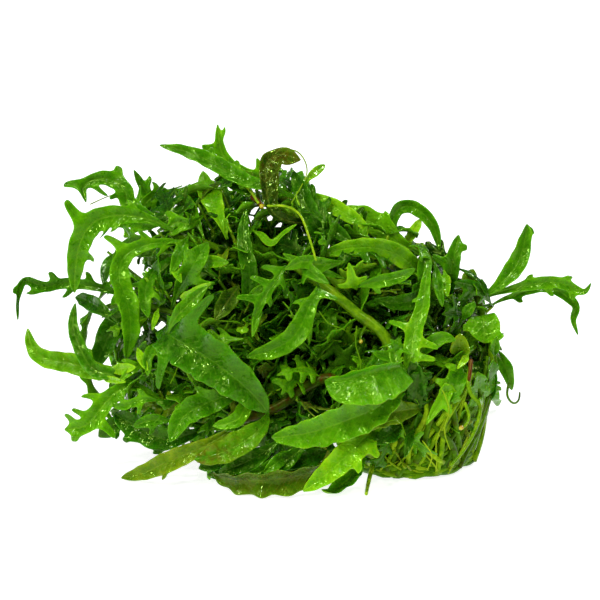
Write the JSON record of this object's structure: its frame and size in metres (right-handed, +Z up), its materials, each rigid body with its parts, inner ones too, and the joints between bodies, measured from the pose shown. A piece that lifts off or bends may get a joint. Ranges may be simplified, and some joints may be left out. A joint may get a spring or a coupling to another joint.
{
  "type": "hygrophila plant clump",
  "caption": "Wet bunch of cut-leaved hygrophila, an aquarium plant: narrow lobed leaves on soft stems over a flat puck of matted roots, lying on a surface.",
  "frame": {"origin": "bottom centre of the clump's box, on the surface that it lies on", "axes": "+Z up; the front of the clump, as the picture shows it, faces -Y; +X to the viewer's right"},
  "size_m": [0.1152, 0.0766, 0.0651],
  "materials": {
    "root": "wet matted roots",
    "stem": "wet, smooth",
    "leaf": "wet, glossy",
    "leaf_young": "wet, glossy",
    "leaf_old": "wet, glossy",
    "leaf_olive": "wet, glossy"
  },
  "bodies": {
    "root": {"root_puck": "root", "stem_low_left": "stem", "stem_left": "stem", "stem_upper_left": "stem", "stem_top": "stem", "stem_top_right": "stem", "stem_right": "stem", "stem_far_right": "stem", "stem_front": "stem", "stem_front_low": "stem", "stem_back_left": "stem", "stem_back_right": "stem", "leaf_far_left_dangling": "leaf_old", "leaf_left_arch": "leaf_young", "leaf_upper_left_loop": "leaf", "leaf_left_pale_crescent": "leaf_young", "leaf_left_sickle": "leaf_young", "leaf_left_olive": "leaf_old", "leaf_left_hanging": "leaf", "leaf_low_left_forked": "leaf_young", "leaf_low_left_broad": "leaf_old", "leaf_low_left_yellow": "leaf_olive", "leaf_floor_boat": "leaf_olive", "leaf_front_forked": "leaf_young", "leaf_front_brown_tip": "leaf", "leaf_front_long": "leaf_young", "leaf_front_folded": "leaf", "leaf_front_broad": "leaf", "leaf_left_glossy": "leaf_young", "leaf_left_upright": "leaf", "leaf_centre_upright": "leaf_old", "leaf_centre_feathered": "leaf", "leaf_centre_swoop": "leaf", "leaf_upper_right_pale": "leaf_young", "leaf_right_tongue": "leaf_old", "leaf_right_bright_forked": "leaf_young", "leaf_right_frilled": "leaf", "leaf_top_left_long": "leaf", "leaf_top_antler": "leaf_young", "leaf_top_folded": "leaf_olive", "leaf_top_dark": "leaf_old", "leaf_upper_right_strap": "leaf_young", "leaf_upper_right_broad": "leaf", "leaf_right_hoop": "leaf", "leaf_right_horn": "leaf", "leaf_right_sword": "leaf", "leaf_far_right_lobed": "leaf", "leaf_far_right_trailing": "leaf", "leaf_right_round": "leaf_young", "leaf_right_drooping": "leaf", "leaf_right_wall": "leaf_old", "leaf_back_left_high": "leaf", "leaf_back_left": "leaf", "leaf_back_middle": "leaf_old", "leaf_back_low": "leaf", "leaf_back_right_high": "leaf", "leaf_back_right": "leaf_old", "leaf_back_right_low": "leaf", "leaf_side_left": "leaf", "leaf_crown_back": "leaf"}
  },
  "joints": []
}
